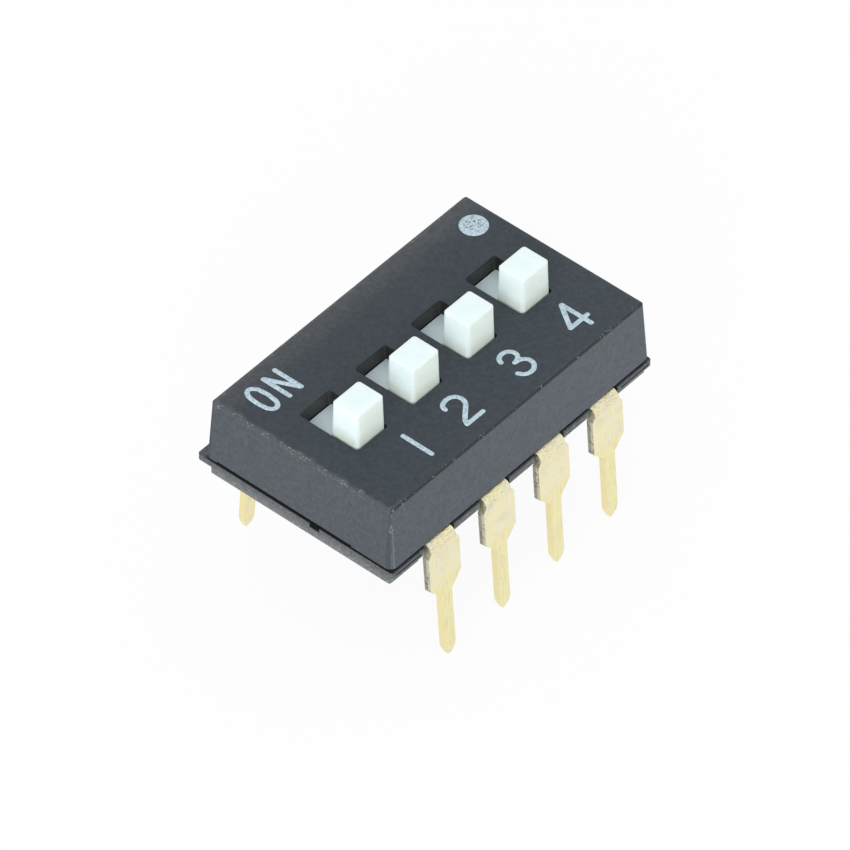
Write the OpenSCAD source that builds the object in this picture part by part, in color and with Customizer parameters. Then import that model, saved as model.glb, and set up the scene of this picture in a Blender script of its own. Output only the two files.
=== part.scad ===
// Raised-actuator slide DIP switch, four positions, through-hole.
// Switch 1 is at the -X end, the ON side is +Y, and the pin tips stand on z = 0.

/* [Row] */
// Distance from one switch, and one pin, to the next
pitch = 2.54; // [2.5:0.01:4]

/* [Cover] */
// Length of the cover at its bottom edge, past the outer switch centres
cover_end = 2.22; // [2.05:0.01:3]
// Width of the cover at its bottom edge
cover_w = 7.48; // [7.2:0.01:9.5]
// Height of the cover
cover_h = 2.32; // [1.93:0.01:4]
// Height of the cover's bottom edge above the top face of the terminals
cover_lift = 0.08; // [0:0.01:0.15]
// How far each side leans in between its bottom and its top
cover_lean = 0.175; // [0.02:0.005:0.19]
// Radius of the upright corners at the bottom edge
cover_corner_r = 0.26; // [0.26:0.01:0.6]
// Bevel round the top edge
cover_edge = 0.05; // [0.02:0.01:0.06]
// Shift of the cover's outside from the middle between the pins, towards ON
cover_shift = 0.05; // [0:0.01:0.1]
// Shift of the housing's outside from the middle of the row, towards the last switch
end_shift = 0.07; // [0:0.01:0.1]
// Width of the shallow relief under each end of the cover
relief_w = 5.40; // [2:0.1:5.4]
// Distance of its middle from the middle of the end
relief_offset = 0.60; // [0:0.05:0.6]
// Height of that relief
relief_h = 0.05; // [0.02:0.01:0.1]
// Thickness of the top wall that the sliders run under
top_wall = 0.58; // [0.35:0.01:0.9]
// Shift of the slots from the middle between the pins, towards ON
slot_shift = 0.07; // [0:0.01:0.15]
// Radius in the corners of each slot
slot_corner_r = 0.12; // [0.05:0.01:0.3]

/* [Sliders] */
// Travel from OFF to ON
travel = 1.16; // [0.8:0.02:1.4]
// Width of the knob where it stands on its plate, along the row
knob_w = 1.34; // [0.9:0.01:1.5]
// Depth of the knob where it stands on its plate, along its travel
knob_d = 1.13; // [0.8:0.01:1.3]
// Height of the knob above the cover
knob_h = 1.30; // [0.4:0.01:2.5]
// How far each face of the knob leans in between plate and top
knob_lean = 0.06; // [0.02:0.01:0.1]
// Radius of the knob's upright edges
knob_corner_r = 0.17; // [0.11:0.01:0.3]
// Bevel round the knob's top
knob_edge = 0.04; // [0.02:0.01:0.06]
// Width of the plate that keeps the slider in
plate_w = 1.90; // [1.7:0.01:2.0]
// Thickness of the plate
plate_t = 0.44; // [0.3:0.01:0.6]
// How far the plate's end stops short of the slot's end when the knob is at the other end
plate_short = 0.03; // [0:0.01:0.1]
// Width of the block under the plate that carries the wiper
block_w = 1.10; // [0.8:0.01:1.3]
// Length of the block under the plate
block_l = 1.30; // [0.8:0.01:1.6]
// Radius of the stake that holds the wiper
stake_r = 0.22; // [0.15:0.01:0.3]
// Radius of the stake's upset head
stake_head_r = 0.36; // [0.32:0.01:0.45]
// Height of the stake's upset head
stake_head_h = 0.12; // [0.08:0.01:0.2]

/* [Wipers] */
// Thickness of the spring strip
wiper_t = 0.10; // [0.06:0.01:0.15]
// Width of the spring strip
wiper_w = 0.80; // [0.76:0.01:1.0]
// Distance from the middle of the wiper to each contact point
wiper_reach = 1.30; // [1.1:0.01:1.45]
// Half the length of the wiper's flat middle
wiper_flat = 0.42; // [0.38:0.01:0.5]
// Outer radius of the rounded contact points
wiper_tip_r = 0.24; // [0.18:0.01:0.3]
// Width of the slit that splits each arm into two fingers
wiper_slit = 0.12; // [0.08:0.01:0.2]

/* [Terminals] */
// Thickness of the terminal strip
pin_t = 0.24; // [0.15:0.01:0.3]
// How far the terminals' outer faces stand out past the cover's bottom edge
pin_out = 0.21; // [0.16:0.01:0.5]
// Outer radius of the bend
bend_r = 0.30; // [0.3:0.01:0.4]
// Outward lean of the pins, in degrees
pin_splay = 4; // [0:0.5:8]
// Distance from the terminals' top face down to the pin tips
pin_reach = 4.87; // [4.3:0.01:6]
// Width of the strip through the bend
neck_w = 1.13; // [0.95:0.01:1.3]
// Width of the shoulder that stands on the circuit board
shoulder_w = 1.40; // [1.15:0.01:1.5]
// Width of the leg that goes through the circuit board
leg_w = 0.47; // [0.4:0.01:0.6]
// Distance from the terminals' top face down to the end of the shoulder
shoulder_drop = 1.79; // [1.3:0.01:2.2]
// Length over which the neck widens to the shoulder
step_h = 0.16; // [0.05:0.01:0.4]
// Width of the flat contact inside the base
pad_w = 0.90; // [0.82:0.01:0.95]
// Radius of the rounded pin tip
tip_r = 0.10; // [0.05:0.01:0.15]
// Length over which the leg narrows to its tip
tip_taper = 0.34; // [0.1:0.01:0.6]
// Length over which both faces of the leg close in to its tip
coin_l = 0.24; // [0.1:0.01:0.6]
// Thickness left at the very tip
coin_t = 0.08; // [0.04:0.01:0.14]

/* [Base] */
// Distance from the terminals' top face down to the bottom of the base
base_drop = 0.67; // [0.64:0.01:1.2]
// Thickness of the flange round the base
flange_t = 0.23; // [0.2:0.01:0.34]
// How far the flange stands out past the cover, on the OFF side
flange_out_off = 0.05; // [0:0.01:0.5]
// How far the flange stands out past the cover, on the ON side
flange_out_on = 0.29; // [0:0.01:0.5]
// Radius of the flange's corners
flange_corner_r = 0.10; // [0.05:0.01:0.3]
// Open line between cover and flange
parting_gap = 0.11; // [0.02:0.01:0.15]
// Height of the seam in the flange's long edges, beside each corner
seam_h = 0.06; // [0.02:0.01:0.08]
// Depth of that seam
seam_d = 0.08; // [0.02:0.01:0.15]
// Distance of that seam from the flange's top
seam_drop = 0.10; // [0.05:0.01:0.14]
// Distance of that seam from the end
seam_inset = 0.14; // [0.12:0.01:0.4]
// Inset of the foot from the cover's bottom edge, on the long sides
foot_inset = 0.06; // [0:0.01:0.2]
// Radius round the bottom edge of the foot
foot_edge_r = 0.24; // [0.05:0.01:0.26]
// Radius of the foot's upright corners
foot_corner_r = 0.36; // [0.1:0.01:0.4]
// Width of the channel that each wiper runs in
channel_w = 1.74; // [1.4:0.01:1.8]
// Thickness of the base's walls outside the end channels
end_wall = 0.50; // [0.3:0.01:0.6]
// Thickness of the base's walls along the long sides
side_wall = 0.38; // [0.25:0.01:0.45]
// Length of the snap ridge on each end wall
snap_l = 2.40; // [1:0.1:4]
// How far the snap ridge stands out
snap_out = 0.08; // [0.04:0.01:0.12]
// Width of the notch in each end of the flange
notch_w = 0.40; // [0.2:0.01:1]
// Depth of the notch into the end
notch_depth = 0.32; // [0.1:0.01:0.5]
// Distance of the notch from the middle of the end
notch_offset = 0.62; // [0:0.01:1.5]

/* [Clearances] */
// Knob to slot, at the sides
slot_side_gap = 0.045; // [0.03:0.005:0.08]
// Knob to slot, at the ends of the travel
slot_end_gap = 0.025; // [0.02:0.005:0.06]
// Plate to the walls above and below it
run_gap = 0.03; // [0.02:0.005:0.05]
// Plate to the pocket at its sides and ends
plate_gap = 0.05; // [0.03:0.005:0.08]
// Base walls to the inside of the cover
tub_gap = 0.03; // [0.01:0.005:0.05]
// Terminal to its groove in the base
groove_gap = 0.02; // [0.01:0.005:0.04]
// Terminal to the sides of its notch in the flange
flange_gap = 0.11; // [0.06:0.01:0.12]
// Terminal to the foot behind it
foot_gap = 0.14; // [0.08:0.01:0.3]
// Wiper to the contacts it slides on
wiper_gap = 0.02; // [0.01:0.005:0.04]

/* [Hidden] */
$fn = 48;
cut = 0.5; // how far a cutter runs past an open face

positions = 4; // as many as the names below
row_half = (positions - 1) * pitch / 2;
cover_l = 2 * (row_half + cover_end);
strip_z = pin_reach; // height of the terminals' top face, which the rest is built up from

// Stack inside the housing
cover_top_z = cover_lift + cover_h;
ceiling_z = cover_top_z - top_wall;
plate_top_z = ceiling_z - run_gap;
plate_bottom_z = plate_top_z - plate_t;
tub_h = plate_bottom_z - run_gap;
wiper_rise = 0.25; // from the rounded contact points up to the flat middle
wiper_z = wiper_gap + 2 * wiper_tip_r + wiper_rise;
knob_total_h = cover_top_z + knob_h - plate_top_z;

// Slots and plates follow the knob and its travel
slot_w = knob_w + 2 * slot_side_gap;
slot_l = knob_d + travel + 2 * slot_end_gap;
plate_l = slot_l + travel - 2 * plate_short;
rest_y = slot_shift - travel / 2;
pocket_w = plate_w + 2 * plate_gap;
pocket_l = plate_l + travel + 2 * (slot_shift + plate_gap);

// Base walls stand round the channels, and the cover drops over them
tub_l = 2 * (row_half + channel_w / 2 + end_wall);
tub_w = pocket_l + 2 * side_wall;
cavity_l = tub_l + 2 * tub_gap;
cavity_w = tub_w + 2 * tub_gap;
snap_h = 0.2;
snap_z = tub_h / 3;

// Flange and foot
flange_w = cover_w + flange_out_off + flange_out_on;
flange_y = cover_shift + (flange_out_on - flange_out_off) / 2;
flange_top = cover_lift - parting_gap;
flange_bottom = flange_top - flange_t;
notch_floor_z = flange_bottom + flange_t / 3;

// The foot is wide at its ends and stands back behind the pins between them
cover_front = cover_w / 2 - cover_shift;
pin_face_y = cover_front + pin_out;
foot_end_w = cover_w - 2 * foot_inset;
foot_mid_w = 2 * (pin_face_y - pin_t - foot_gap);
foot_h = base_drop + flange_bottom;
foot_mid_l = 2 * (row_half + shoulder_w / 2 + foot_gap);

// Terminals
bend_y = pin_face_y - bend_r;
bend_angle = 90 - pin_splay;
tip_face_r = bend_r - (pin_t + coin_t) / 2; // inner face of the tip, from the bend's centre line
blade_l = (pin_reach - bend_r + tip_face_r * sin(pin_splay)) / cos(pin_splay);
shoulder_end = shoulder_drop - bend_r;
chamfer_end = shoulder_end + (shoulder_w - leg_w) / 2;
taper_start = blade_l - tip_taper - tip_r;
taper_angle = atan((leg_w / 2 - tip_r) / tip_taper);
contact_lap = 0.25; // pad past the contact point that always stays on it
break_gap = 0.5; // pad to the other contact point while the switch is OFF
front_pad_end = wiper_reach - rest_y - travel - contact_lap;
back_pad_end = rest_y + wiper_reach + break_gap;

plastic_dark = "#5d646a";
plastic_black = "#3a3e42";
plastic_white = "#f0f5f5";
gold = "#e6dcae";
spring_gold = "#d8b860";

function switch_x(i) = (i - 1) * pitch - row_half;

// ---- Shared shapes ----

// Raises what is modelled from the terminals' top face to its height above the pin tips
module on_strip() {
    translate([0, 0, strip_z]) children();
}

module at_each_switch() {
    for (i = [1 : positions]) translate([switch_x(i), 0, 0]) children();
}

// Block whose four sides lean in by the same amount and whose corners are cones
module leaning_block(l, w, h, lean, r) {
    core_x = l / 2 - r;
    core_y = w / 2 - r;
    rotate([90, 0, 0])
        linear_extrude(2 * core_y, center = true)
            polygon([[-l / 2, 0], [l / 2, 0], [l / 2 - lean, h], [lean - l / 2, h]]);
    rotate([90, 0, 90])
        linear_extrude(2 * core_x, center = true)
            polygon([[-w / 2, 0], [w / 2, 0], [w / 2 - lean, h], [lean - w / 2, h]]);
    for (sx = [-1, 1], sy = [-1, 1])
        translate([sx * core_x, sy * core_y, 0])
            cylinder(h, r1 = r, r2 = r - lean);
}

// The same block with a 45 degree bevel round its top
module bevelled_block(l, w, h, lean, r, bevel) {
    side_lean = lean * (h - bevel) / h;
    leaning_block(l, w, h - bevel, side_lean, r);
    translate([0, 0, h - bevel])
        leaning_block(l - 2 * side_lean, w - 2 * side_lean, bevel, bevel, r - side_lean);
}

module rounded_rect(l, w, r) {
    square([l, w - 2 * r], center = true);
    square([l - 2 * r, w], center = true);
    for (sx = [-1, 1], sy = [-1, 1])
        translate([sx * (l / 2 - r), sy * (w / 2 - r)]) circle(r);
}

// Outline of the foot seen from a side, with its two bottom corners rounded
module foot_outline(l, h, r) {
    translate([-l / 2, r]) square([l, h - r]);
    translate([r - l / 2, 0]) square([l - 2 * r, h]);
    for (side = [-1, 1]) translate([side * (l / 2 - r), r]) circle(r);
}

module rounded_foot(l, w, h, r, corner_r) {
    intersection() {
        rotate([90, 0, 0]) linear_extrude(w, center = true) foot_outline(l, h, r);
        rotate([90, 0, 90]) linear_extrude(l, center = true) foot_outline(w, h, r);
        linear_extrude(h) rounded_rect(l, w, corner_r);
    }
}

// ---- Cover ----

module slot() {
    translate([0, slot_shift, ceiling_z - cut])
        linear_extrude(top_wall + 2 * cut) rounded_rect(slot_w, slot_l, slot_corner_r);
}

module plate_pocket() {
    translate([-pocket_w / 2, -pocket_l / 2, tub_h - cut])
        cube([pocket_w, pocket_l, ceiling_z - tub_h + cut]);
}

module cover() {
    color(plastic_dark) on_strip() difference() {
        translate([end_shift, cover_shift, cover_lift])
            bevelled_block(cover_l, cover_w, cover_h, cover_lean, cover_corner_r, cover_edge);
        translate([-cavity_l / 2, -cavity_w / 2, -cut]) cube([cavity_l, cavity_w, tub_h + cut]);
        at_each_switch() plate_pocket();
        at_each_switch() slot();
        snap_bar(tub_gap);
        for (turn = [0, 180]) translate([end_shift, 0, cover_lift]) rotate([0, 0, turn])
            translate([-cover_l / 2 - cut, relief_offset - relief_w / 2, -cut])
                cube([cover_l / 2, relief_w, cut + relief_h]);
    }
}

// ---- Base ----

// The two snap ridges as one bar through the base, or with a clearance their recesses
module snap_bar(gap) {
    bar_l = tub_l + 2 * (snap_out + gap);
    bar_w = snap_l + 2 * gap;
    bar_h = snap_h + 2 * gap;
    translate([-bar_l / 2, -bar_w / 2, snap_z - gap]) cube([bar_l, bar_w, bar_h]);
}

// Room for one terminal: under the channel, out through the flange, and past its edge
module terminal_groove(pad_end) {
    pad_groove_w = pad_w + 2 * groove_gap;
    neck_groove_w = neck_w + 2 * groove_gap;
    edge_notch_w = neck_w + 2 * flange_gap;
    edge_notch_y = foot_mid_w / 2;
    translate([-pad_groove_w / 2, -tub_w / 2 - cut, -pin_t])
        cube([pad_groove_w, tub_w / 2 + cut - pad_end + groove_gap, pin_t + groove_gap]);
    translate([-neck_groove_w / 2, -edge_notch_y - cut, -pin_t])
        cube([neck_groove_w, edge_notch_y + cut - tub_w / 2 + groove_gap, pin_t + cut]);
    translate([-edge_notch_w / 2, -edge_notch_y - flange_w, flange_bottom - cut])
        cube([edge_notch_w, flange_w, flange_t + 2 * cut]);
}

// Foot with a long relief behind each row of pins
module foot() {
    relief_d = (foot_end_w - foot_mid_w) / 2 + cut;
    difference() {
        translate([end_shift, cover_shift, -base_drop])
            rounded_foot(cover_l, foot_end_w, foot_h, foot_edge_r, foot_corner_r);
        for (side = [0, 180]) rotate([0, 0, side])
            translate([-foot_mid_l / 2, foot_mid_w / 2, -base_drop - cut])
                cube([foot_mid_l, relief_d, foot_h + 2 * cut]);
    }
}

// The four seams in the flange's long edges, from beside the corners to behind the outer pins
module corner_seams() {
    for (sx = [-1, 1], sy = [-1, 1])
        translate([sx * foot_mid_l / 2, flange_y + sy * flange_w / 2, flange_top - seam_drop - seam_h])
            mirror([sx < 0 ? 1 : 0, 0, 0]) translate([0, -seam_d, 0])
                cube([cover_l / 2 + sx * end_shift - seam_inset - foot_mid_l / 2, 2 * seam_d, seam_h]);
}

module base() {
    color(plastic_black) on_strip() difference() {
        union() {
            foot();
            translate([end_shift, flange_y, flange_bottom])
                linear_extrude(flange_t) rounded_rect(cover_l, flange_w, flange_corner_r);
            translate([-tub_l / 2, -tub_w / 2, flange_bottom])
                cube([tub_l, tub_w, tub_h - flange_bottom]);
            snap_bar(0);
        }
        at_each_switch() {
            translate([-channel_w / 2, -pocket_l / 2, 0]) cube([channel_w, pocket_l, tub_h + cut]);
            terminal_groove(front_pad_end);
            mirror([0, 1, 0]) terminal_groove(back_pad_end);
        }
        for (turn = [0, 180]) translate([end_shift, 0, 0]) rotate([0, 0, turn])
            translate([-cover_l / 2 - cut, -notch_offset - notch_w / 2, notch_floor_z])
                cube([notch_depth + cut, notch_w, flange_t + cut]);
        corner_seams();
    }
}

// ---- Sliders and wipers ----

module slider(i) {
    block_bottom_z = wiper_z + wiper_t;
    color(plastic_white) on_strip() translate([switch_x(i), rest_y, 0]) {
        translate([0, 0, plate_top_z])
            bevelled_block(knob_w, knob_d, knob_total_h, knob_lean, knob_corner_r, knob_edge);
        translate([-plate_w / 2, -plate_l / 2, plate_bottom_z]) cube([plate_w, plate_l, plate_t]);
        translate([-block_w / 2, -block_l / 2, block_bottom_z])
            cube([block_w, block_l, plate_bottom_z - block_bottom_z]);
        translate([0, 0, wiper_z - stake_head_h]) {
            cylinder(stake_head_h + wiper_t, r = stake_r);
            cylinder(stake_head_h, r = stake_head_r);
        }
    }
}

// One arm of the wiper seen from the side: flat, slope and rounded contact point
module wiper_arm_profile() {
    tip_centre = wiper_gap + wiper_tip_r;
    slope_run = wiper_reach - wiper_tip_r - wiper_flat;
    slope_angle = atan((wiper_z - tip_centre) / slope_run);
    wiper_mid_r = wiper_tip_r - wiper_t / 2;
    foot_x = wiper_reach - wiper_mid_r * sin(slope_angle);
    foot_z = tip_centre - wiper_mid_r * cos(slope_angle);
    translate([0, wiper_z]) square([wiper_flat, wiper_t]);
    straight_strip([wiper_flat, wiper_z + wiper_t / 2], [foot_x, foot_z]);
    translate([wiper_reach, tip_centre]) difference() {
        circle(wiper_tip_r);
        circle(wiper_tip_r - wiper_t);
        translate([-wiper_tip_r, 0]) square([2 * wiper_tip_r, wiper_tip_r]);
        rotate(-slope_angle) translate([-2 * wiper_tip_r, -2 * wiper_tip_r])
            square([2 * wiper_tip_r, 4 * wiper_tip_r]);
    }
}

// Straight strip of the wiper's thickness between two points
module straight_strip(from, to) {
    run = to - from;
    translate(from) rotate(atan2(run[1], run[0])) {
        translate([0, -wiper_t / 2]) square([norm(run), wiper_t]);
        circle(wiper_t / 2);
    }
}

module wiper(i) {
    slit_start = wiper_flat + wiper_t;
    color(spring_gold) on_strip() translate([switch_x(i), rest_y, 0]) difference() {
        rotate([90, 0, 90]) linear_extrude(wiper_w, center = true) {
            wiper_arm_profile();
            mirror([1, 0]) wiper_arm_profile();
        }
        translate([0, 0, wiper_z - cut]) cylinder(2 * cut, r = stake_r + groove_gap);
        for (side = [-1, 1])
            translate([-wiper_slit / 2, side > 0 ? slit_start : -slit_start - wiper_reach, -cut])
                cube([wiper_slit, wiper_reach, wiper_z + 2 * cut]);
    }
}

// ---- Terminals ----

// Flat pattern of the part below the bend, its second axis running down the pin
module blade_outline() {
    neck = neck_w / 2;
    shoulder = shoulder_w / 2;
    leg = leg_w / 2;
    point = tip_r * cos(taper_angle);
    point_end = blade_l - tip_r + tip_r * sin(taper_angle);
    half = [[neck, 0], [shoulder, step_h], [shoulder, shoulder_end],
        [leg, chamfer_end], [leg, taper_start], [point, point_end]];
    polygon(concat(half, [for (k = [len(half) - 1 : -1 : 0]) [-half[k][0], half[k][1]]]));
    translate([0, blade_l - tip_r]) circle(tip_r);
}

// The blade, its faces coined together towards the tip
module blade() {
    coin_start = blade_l - coin_l;
    skim = (pin_t - coin_t) / 2;
    intersection() {
        linear_extrude(pin_t) blade_outline();
        rotate([90, 0, 90]) linear_extrude(shoulder_w + 2 * cut, center = true)
            polygon([[0, 0], [coin_start, 0], [blade_l, skim], [blade_l, pin_t - skim],
                [coin_start, pin_t], [0, pin_t]]);
    }
}

// Terminal of the -Y row, at x = 0, with its contact reaching in to pad_end
module terminal(pad_end) {
    neck_in = tub_w / 2;
    translate([-pad_w / 2, -neck_in - pin_t, -pin_t]) cube([pad_w, neck_in + pin_t - pad_end, pin_t]);
    translate([-neck_w / 2, -bend_y, -pin_t]) cube([neck_w, bend_y - neck_in, pin_t]);
    translate([0, -bend_y, -bend_r]) {
        rotate([0, 90, 0]) rotate([0, 0, 180]) rotate_extrude(angle = bend_angle)
            translate([bend_r - pin_t, -neck_w / 2]) square([pin_t, neck_w]);
        rotate([-pin_splay, 0, 0]) translate([0, -bend_r, 0]) rotate([-90, 0, 0]) blade();
    }
}

module terminal_front(i) {
    color(gold) on_strip() translate([switch_x(i), 0, 0]) terminal(front_pad_end);
}

module terminal_back(i) {
    color(gold) on_strip() translate([switch_x(i), 0, 0])
        mirror([0, 1, 0]) terminal(back_pad_end);
}

cover();
base();
slider(1);  // slider_1
slider(2);  // slider_2
slider(3);  // slider_3
slider(4);  // slider_4
wiper(1);  // wiper_1
wiper(2);  // wiper_2
wiper(3);  // wiper_3
wiper(4);  // wiper_4
terminal_front(1);  // terminal_front_1
terminal_front(2);  // terminal_front_2
terminal_front(3);  // terminal_front_3
terminal_front(4);  // terminal_front_4
terminal_back(1);  // terminal_back_1
terminal_back(2);  // terminal_back_2
terminal_back(3);  // terminal_back_3
terminal_back(4);  // terminal_back_4
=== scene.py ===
import math
import bpy
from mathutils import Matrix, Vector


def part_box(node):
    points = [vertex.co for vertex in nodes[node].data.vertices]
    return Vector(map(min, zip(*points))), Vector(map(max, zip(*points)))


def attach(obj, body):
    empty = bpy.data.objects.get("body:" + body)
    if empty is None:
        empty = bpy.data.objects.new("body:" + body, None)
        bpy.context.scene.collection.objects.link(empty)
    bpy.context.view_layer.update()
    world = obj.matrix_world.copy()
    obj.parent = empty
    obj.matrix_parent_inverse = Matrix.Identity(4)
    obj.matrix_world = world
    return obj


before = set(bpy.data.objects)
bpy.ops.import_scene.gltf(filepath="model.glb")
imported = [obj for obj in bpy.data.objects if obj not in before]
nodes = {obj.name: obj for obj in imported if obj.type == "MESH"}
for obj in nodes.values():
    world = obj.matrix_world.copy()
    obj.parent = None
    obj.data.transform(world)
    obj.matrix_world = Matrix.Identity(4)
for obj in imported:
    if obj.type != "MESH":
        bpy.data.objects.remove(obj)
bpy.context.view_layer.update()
scene = bpy.context.scene
mm = 0.001
coverLow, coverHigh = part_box("cover")
coverMiddle = (coverLow + coverHigh) / 2
baseLow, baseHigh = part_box("base")
baseMiddle = (baseLow + baseHigh) / 2
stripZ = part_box("terminal_front_1")[1].z  # the top face of the metal strips, just under the cover
print("frame loaded:", len(nodes), "pieces")


# Node sheets: every helper takes the sheet first, then the column and the row its node stands at.

columnWidth = 200
rowHeight = 180


def place(tree, kind, column, row, inputs=None, **settings):
    # one node on the sheet, its sockets filled with a value or with another node's output
    node = tree.nodes.new(kind)
    node.location = (column * columnWidth, -row * rowHeight)
    for name, value in settings.items():
        setattr(node, name, value)
    for socket, value in (inputs or {}).items():
        if isinstance(value, bpy.types.NodeSocket):
            tree.links.new(value, node.inputs[socket])
        else:
            node.inputs[socket].default_value = value
    return node


def calc(tree, operation, column, row, *values):
    return place(tree, "ShaderNodeMath", column, row, dict(enumerate(values)), operation=operation).outputs[0]


def times(tree, column, row, first, second):
    return calc(tree, "MULTIPLY", column, row, first, second)


def unsigned(tree, column, row, value):
    return calc(tree, "ABSOLUTE", column, row, value)


def apart(tree, column, row, value, middle):
    # how far a coordinate is from a middle line, on either side
    return unsigned(tree, column + 1, row, calc(tree, "SUBTRACT", column, row, value, middle))


def fade(tree, column, row, value, start, end, low=0.0, high=1.0):
    # low before start, high after end, and a smooth way between them
    sockets = {"Value": value, "From Min": start, "From Max": end, "To Min": low, "To Max": high}
    return place(tree, "ShaderNodeMapRange", column, row, sockets,
                 interpolation_type="SMOOTHSTEP").outputs["Result"]


def band(tree, column, row, value, rise, fall):
    # 1 between the two ranges, 0 outside them
    return times(tree, column + 1, row, fade(tree, column, row, value, *rise),
                 fade(tree, column, row + 1, value, *fall))


def inside(tree, column, row, distance, limit, blur=0.004 * mm):
    # 1 up to the limit, 0 just past it
    return fade(tree, column, row, distance, limit, limit + blur, 1.0, 0.0)


def split(tree, column, row, vector):
    return place(tree, "ShaderNodeSeparateXYZ", column, row, {0: vector}).outputs


def noise(tree, column, row, vector, scale, detail, roughness=0.5):
    sockets = {"Vector": vector, "Scale": scale, "Detail": detail, "Roughness": roughness}
    return place(tree, "ShaderNodeTexNoise", column, row, sockets).outputs[0]


def mixColour(tree, column, row, factor, first, second, mode="MIX"):
    sockets = {0: factor, 6: first, 7: second}
    return place(tree, "ShaderNodeMix", column, row, sockets, data_type="RGBA", blend_type=mode).outputs[2]


def tint(red, green, blue):
    # a colour as a paint program gives it, 0 to 255, turned to light by the sRGB curve
    def linear(value):
        value /= 255
        return value / 12.92 if value <= 0.04045 else ((value + 0.055) / 1.055) ** 2.4
    return (linear(red), linear(green), linear(blue), 1.0)


def newGroup(name, inputs, outputs):
    tree = bpy.data.node_groups.new(name, "ShaderNodeTree")
    for label, kind, start in inputs:
        socket = tree.interface.new_socket(label, in_out="INPUT", socket_type="NodeSocket" + kind)
        socket.default_value = start
    for label in outputs:
        tree.interface.new_socket(label, in_out="OUTPUT", socket_type="NodeSocketFloat")
    return tree, place(tree, "NodeGroupInput", -1, 0).outputs


def closeGroup(tree, column, results):
    place(tree, "NodeGroupOutput", column, 0, results)
    return tree


def useGroup(tree, group, column, row, inputs):
    return place(tree, "ShaderNodeGroup", column, row, inputs, node_tree=group).outputs


# Effects that more than one material uses. A Size is that of the main spots or lines, in metres.
# In every table a range is (from, to), or (from, to, value at the first, value at the second).

grainLook = {
    "cloudDetail": 4.0,
    "cloudRough": 0.6,
    "cloudShare": 0.55,
    "toothFiner": 3.1,  # times as fine as the clouds
    "toothDetail": 2.0,
    "toothShare": 0.45,
    "shadeAt": (0.32, 0.68),
}


def makeGrain(look):
    # moulded skin: a soft cloudiness and a finer tooth
    tree, given = newGroup("mouldedGrain", [("Vector", "Vector", (0, 0, 0)), ("Size", "Float", 0.0001)],
                           ["Shade", "Height"])
    count = calc(tree, "DIVIDE", 0, 1, 1.0, given["Size"])
    cloud = noise(tree, 1, 0, given["Vector"], count, look["cloudDetail"], look["cloudRough"])
    finer = times(tree, 1, 2, count, look["toothFiner"])
    tooth = noise(tree, 2, 1, given["Vector"], finer, look["toothDetail"])
    both = calc(tree, "ADD", 4, 0, times(tree, 2, 0, cloud, look["cloudShare"]),
                times(tree, 3, 1, tooth, look["toothShare"]))
    return closeGroup(tree, 6, {"Shade": fade(tree, 5, 0, both, *look["shadeAt"]), "Height": both})


wearLook = {
    "waverCount": 0.7,  # waves in a stretch as long as the wear is wide
    "waverDetail": 3.0,
    "swing": 4.0,
    "maskAt": (-1.0, 0.1),  # in widths of the wear, measured from the edge
}


def makeEdgeWear(look):
    # how near a point is to each kind of edge of a box whose sides lean in towards its top
    tree, given = newGroup("edgeWear",
                           [("Vector", "Vector", (0, 0, 0)), ("Centre", "Vector", (0, 0, 0)),
                            ("Half Size", "Vector", (1, 1, 1)), ("Lean", "Vector", (0, 0, 0)),
                            ("Width", "Float", 0.0001), ("Ragged", "Float", 0.5)],
                           ["End", "Side", "Corner"])
    local = place(tree, "ShaderNodeVectorMath", 0, 0, {0: given["Vector"], 1: given["Centre"]},
                  operation="SUBTRACT").outputs[0]
    at = split(tree, 1, 0, local)
    half = split(tree, 0, 2, given["Half Size"])
    lean = split(tree, 0, 3, given["Lean"])
    fromTop = calc(tree, "SUBTRACT", 2, 3, half["Z"], at["Z"])
    past = {}
    for row, axis in enumerate("XYZ"):
        reach = at[axis] if axis == "Z" else unsigned(tree, 2, row, at[axis])
        side = calc(tree, "MULTIPLY_ADD", 3, row, fromTop, lean[axis], half[axis])
        past[axis] = calc(tree, "SUBTRACT", 4, row, reach, side)
    # the inner border of the wear wanders in and out
    count = calc(tree, "DIVIDE", 2, 4, look["waverCount"], given["Width"])
    waver = noise(tree, 3, 4, given["Vector"], count, look["waverDetail"])
    swing = times(tree, 4, 5, given["Width"], times(tree, 3, 6, given["Ragged"], look["swing"]))
    offset = times(tree, 5, 4, calc(tree, "SUBTRACT", 4, 4, waver, 0.5), swing)
    kinds = [("End", "X", "Z"), ("Side", "Y", "Z"), ("Corner", "X", "Y")]
    masks = {}
    for row, (label, first, second) in enumerate(kinds):
        nearest = calc(tree, "MINIMUM", 6, row, past[first], past[second])
        scaled = calc(tree, "DIVIDE", 8, row, calc(tree, "ADD", 7, row, nearest, offset), given["Width"])
        masks[label] = fade(tree, 9, row, scaled, *look["maskAt"])
    return closeGroup(tree, 11, masks)


fleckLook = {
    "detail": 1.5,
    "rough": 0.55,
    "highest": 0.82,  # the noise level that lets no spot through
    "drop": 0.4,  # how far Amount 1 lowers it
    "border": (-0.02, 0.04),
}


def makeFlecks(look):
    # small separate spots, more of them as Amount goes from 0 to 1
    tree, given = newGroup("flecks", [("Vector", "Vector", (0, 0, 0)), ("Size", "Float", 0.0001),
                                      ("Amount", "Float", 0.3)], ["Mask"])
    count = calc(tree, "DIVIDE", 0, 1, 1.0, given["Size"])
    spots = noise(tree, 1, 0, given["Vector"], count, look["detail"], look["rough"])
    level = calc(tree, "SUBTRACT", 1, 2, look["highest"], times(tree, 0, 2, given["Amount"], look["drop"]))
    over = calc(tree, "SUBTRACT", 2, 0, spots, level)
    return closeGroup(tree, 4, {"Mask": fade(tree, 3, 0, over, *look["border"])})


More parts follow.
